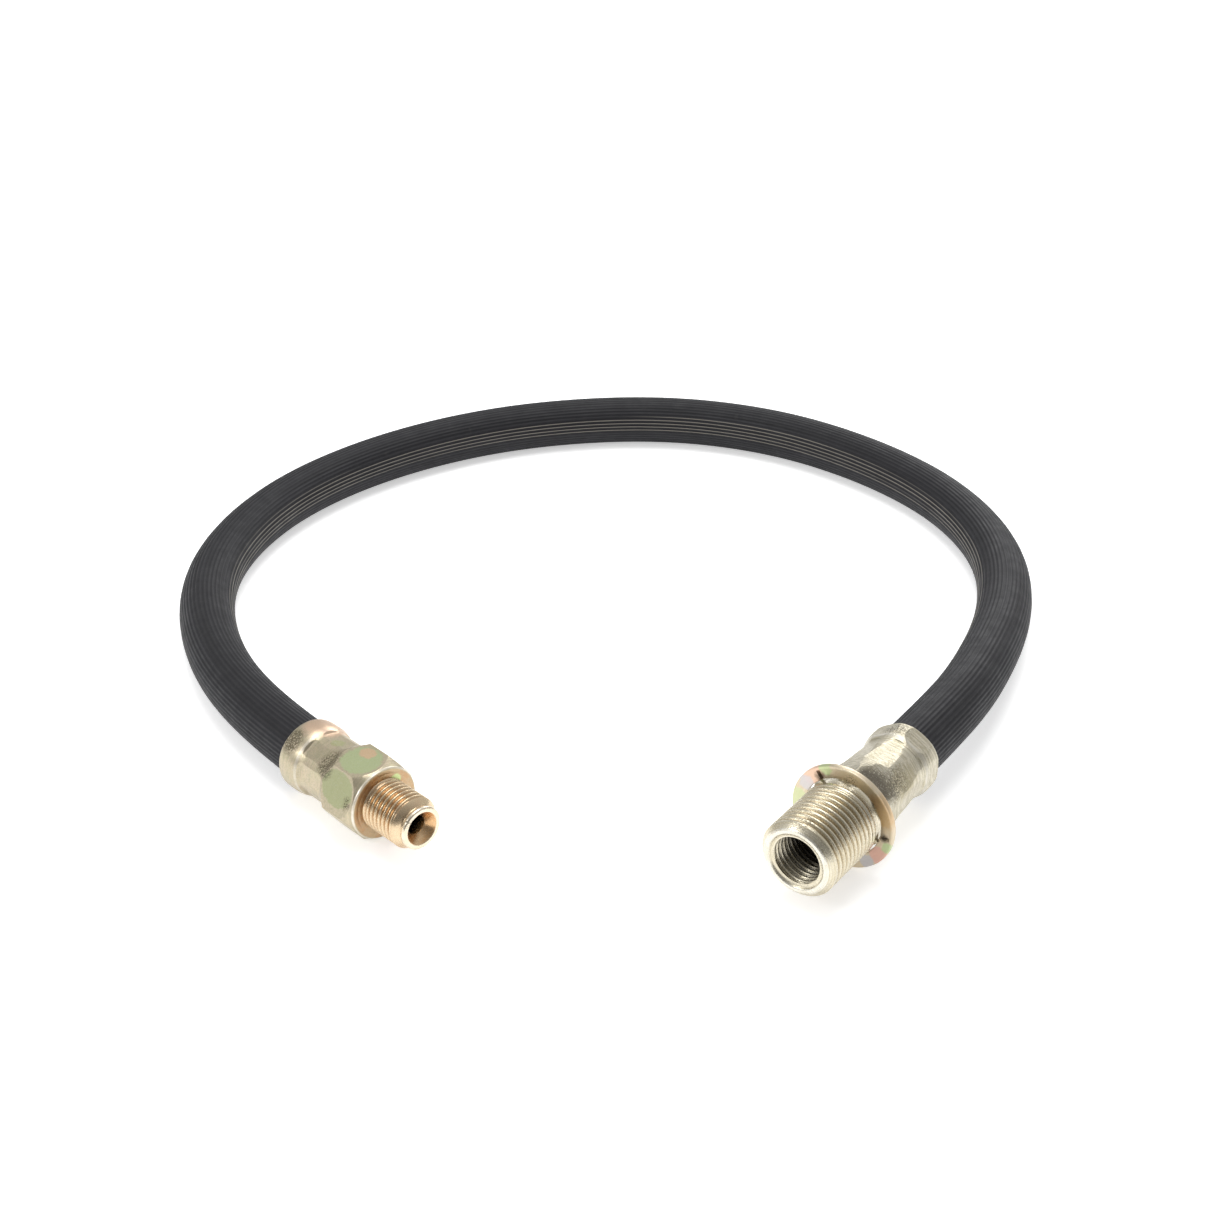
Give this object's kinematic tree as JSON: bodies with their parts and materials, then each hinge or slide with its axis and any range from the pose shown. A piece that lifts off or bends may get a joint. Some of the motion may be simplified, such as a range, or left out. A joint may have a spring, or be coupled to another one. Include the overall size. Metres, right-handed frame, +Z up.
{
  "type": "hydraulic hose assembly",
  "caption": "Flexible ribbed rubber brake-type hydraulic hose in an open loop, with a crimped male threaded fitting and a crimped female bulkhead fitting with a loose flange washer.",
  "frame": {"origin": "on the plane the hose lies on, under the middle of the box round the two fittings", "axes": "+X from the male fitting to the female fitting, +Y towards the far side of the hose loop, +Z up"},
  "size_m": [0.1776, 0.1922, 0.0193],
  "materials": {
    "male_plating": "yellow-passivated zinc plate, satin, with green and pink patches",
    "female_plating": "pale yellow-passivated zinc plate, satin",
    "washer_plating": "thin yellow passivation with a pink and green sheen",
    "insert_steel": "plain zinc plate",
    "cover_rubber": "matt, ribbed along its length",
    "tube_rubber": "matt, smooth",
    "braid_cord": "braided textile cord in rubber"
  },
  "bodies": {
    "hose_assembly": {"male_fitting": "male_plating", "male_insert": "insert_steel", "female_fitting": "female_plating", "female_insert": "insert_steel", "inner_tube": "tube_rubber", "inner_braid": "braid_cord", "cushion_layer": "tube_rubber", "outer_braid": "braid_cord", "hose_cover": "cover_rubber"},
    "washer": {"flange_washer": "washer_plating"}
  },
  "joints": [
    {"name": "washer_spin", "type": "hinge", "parent": "hose_assembly", "child": "washer", "pos_m": [0.03965, -0.00539, 0.00965], "axis": [-0.5914, -0.8064, 0], "continuous": true}
  ]
}
